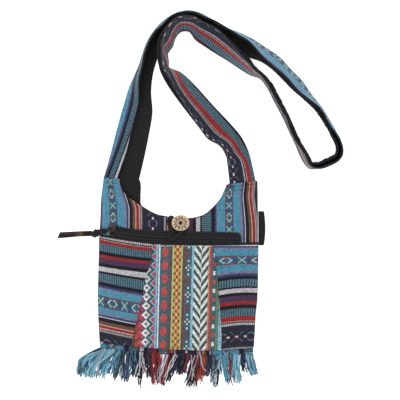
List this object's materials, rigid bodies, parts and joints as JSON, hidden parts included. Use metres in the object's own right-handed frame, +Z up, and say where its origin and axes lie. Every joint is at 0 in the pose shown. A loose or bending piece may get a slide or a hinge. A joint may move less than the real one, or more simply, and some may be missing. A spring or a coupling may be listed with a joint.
{
  "type": "cotton crossbody bag",
  "caption": "Small striped cotton shoulder bag lying flat: lined pouch with round neckline, zip pocket, button and loop, fringe and a long folded cloth strap laid in a loop.",
  "frame": {"origin": "centre of the lying bag's box, on the surface it lies on", "axes": "+Z up from the surface through the bag's front, +Y from the fringe towards the strap, +X across the bag to the right as its front is seen"},
  "size_m": [0.3211, 0.4259, 0.0292],
  "materials": {
    "striped_cloth": "coarse striped cotton, warp ribs",
    "patch_cloth": "brocade weave with small figures",
    "lining_cloth": "plain black cotton",
    "zip_cloth": "black woven tape",
    "zip_nylon": "black nylon coil",
    "old_brass": "darkened brass with worn edges",
    "thong_cloth": "folded dark cotton tape",
    "coconut": "turned and burnt coconut shell",
    "label_tape": "black woven satin tape, bare",
    "fringe_yarn": "loose cotton yarns"
  },
  "bodies": {
    "root": {"back_panel": "striped_cloth", "front_panel": "striped_cloth", "bag_lining": "lining_cloth", "pocket_left": "striped_cloth", "pocket_centre": "patch_cloth", "pocket_right": "striped_cloth", "pocket_binding": "zip_cloth", "zip_tape": "zip_cloth", "zip_coil": "zip_nylon", "zip_slider": "old_brass", "zip_puller": "old_brass", "pull_knot": "thong_cloth", "pull_thong": "thong_cloth", "button": "coconut", "button_loop": "zip_cloth", "side_label": "label_tape", "strap": "striped_cloth", "strap_lining": "lining_cloth", "fringe": "fringe_yarn"}
  },
  "joints": []
}
